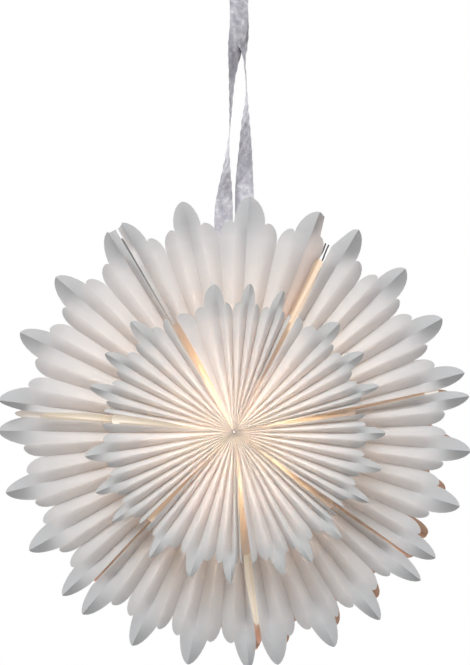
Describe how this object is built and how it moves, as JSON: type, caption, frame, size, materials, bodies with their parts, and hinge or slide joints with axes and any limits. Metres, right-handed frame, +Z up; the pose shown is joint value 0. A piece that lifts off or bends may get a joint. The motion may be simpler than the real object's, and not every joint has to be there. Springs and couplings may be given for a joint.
{
  "type": "pleated paper star lantern",
  "caption": "Round pleated white paper star in two tiers, front and back, with lobed tips and a small bulb inside, hung from a silver ribbon.",
  "frame": {"origin": "the point inside the ribbon's loop that the star hangs from", "axes": "+Z up, along the ribbon from the star; -Y is the front; +X to the right as seen from the front"},
  "size_m": [0.599, 0.244, 0.8749],
  "materials": {
    "paper": "matte",
    "card": "matte",
    "ribbon": "satin",
    "twine": "matte",
    "plastic": "gloss",
    "insulator": "matte",
    "brass": "satin",
    "nickel": "satin",
    "bulb_glass": "gloss",
    "stem": "gloss"
  },
  "bodies": {
    "ribbon_loop": {"ribbon": "ribbon"},
    "section_2": {"section_2_outer_front": "paper", "section_2_outer_back": "paper", "section_2_inner_front": "paper", "section_2_inner_back": "paper", "section_2_seam_wall": "paper", "section_2_closing_wall": "paper", "ribbon_card": "card", "closing_tie_second_end": "twine", "back_collar": "card", "holder_shell": "plastic", "holder_rear_cap": "plastic", "holder_insulator": "insulator", "holder_screw_shell": "brass", "holder_centre_contact": "brass"},
    "section_3": {"section_3_outer_front": "paper", "section_3_outer_back": "paper", "section_3_inner_front": "paper", "section_3_inner_back": "paper", "section_3_seam_wall": "paper"},
    "section_4": {"section_4_outer_front": "paper", "section_4_outer_back": "paper", "section_4_inner_front": "paper", "section_4_inner_back": "paper", "section_4_seam_wall": "paper"},
    "section_5": {"section_5_outer_front": "paper", "section_5_outer_back": "paper", "section_5_inner_front": "paper", "section_5_inner_back": "paper", "section_5_seam_wall": "paper"},
    "section_6": {"section_6_outer_front": "paper", "section_6_outer_back": "paper", "section_6_inner_front": "paper", "section_6_inner_back": "paper", "section_6_seam_wall": "paper"},
    "section_7": {"section_7_outer_front": "paper", "section_7_outer_back": "paper", "section_7_inner_front": "paper", "section_7_inner_back": "paper", "section_7_seam_wall": "paper"},
    "section_1": {"section_1_outer_front": "paper", "section_1_outer_back": "paper", "section_1_inner_front": "paper", "section_1_inner_back": "paper", "section_1_seam_wall": "paper", "closing_tie_first_end": "twine"},
    "clamping_ring": {"clamping_ring": "plastic"},
    "bulb": {"bulb_cap": "nickel", "bulb_glass": "bulb_glass", "bulb_stem": "stem"}
  },
  "joints": [
    {"name": "star_tilt", "type": "hinge", "parent": "ribbon_loop", "child": "section_2", "pos_m": [-0.006, 0, -0.3716], "axis": [1, 0, 0], "range_deg": [-12, 12]},
    {"name": "seam_2_3", "type": "hinge", "parent": "section_2", "child": "section_3", "pos_m": [-0.006, 0, -0.575], "axis": [0, 1, 0], "range_deg": [0, 0.3]},
    {"name": "seam_3_4", "type": "hinge", "parent": "section_3", "child": "section_4", "pos_m": [-0.006, 0, -0.575], "axis": [0, 1, 0], "range_deg": [0, 0.3]},
    {"name": "seam_4_5", "type": "hinge", "parent": "section_4", "child": "section_5", "pos_m": [-0.006, 0, -0.575], "axis": [0, 1, 0], "range_deg": [0, 0.3]},
    {"name": "seam_5_6", "type": "hinge", "parent": "section_5", "child": "section_6", "pos_m": [-0.006, 0, -0.575], "axis": [0, 1, 0], "range_deg": [0, 0.3]},
    {"name": "seam_6_7", "type": "hinge", "parent": "section_6", "child": "section_7", "pos_m": [-0.006, 0, -0.575], "axis": [0, 1, 0], "range_deg": [0, 0.3]},
    {"name": "seam_7_1", "type": "hinge", "parent": "section_7", "child": "section_1", "pos_m": [-0.006, 0, -0.575], "axis": [0, 1, 0], "range_deg": [0, 0.3]},
    {"name": "bulb_turn", "type": "hinge", "parent": "section_2", "child": "bulb", "pos_m": [-0.006, 0.063, -0.575], "axis": [0, -1, 0], "range_deg": [0, 1080]},
    {"name": "ring_turn", "type": "hinge", "parent": "section_2", "child": "clamping_ring", "pos_m": [-0.006, 0.0934, -0.575], "axis": [0, -1, 0], "range_deg": [0, 1080]}
  ],
  "couplings": [
    {"joint": "seam_3_4", "follows": "seam_2_3", "ratio": 1},
    {"joint": "seam_4_5", "follows": "seam_2_3", "ratio": 1},
    {"joint": "seam_5_6", "follows": "seam_2_3", "ratio": 1},
    {"joint": "seam_6_7", "follows": "seam_2_3", "ratio": 1},
    {"joint": "seam_7_1", "follows": "seam_2_3", "ratio": 1}
  ]
}
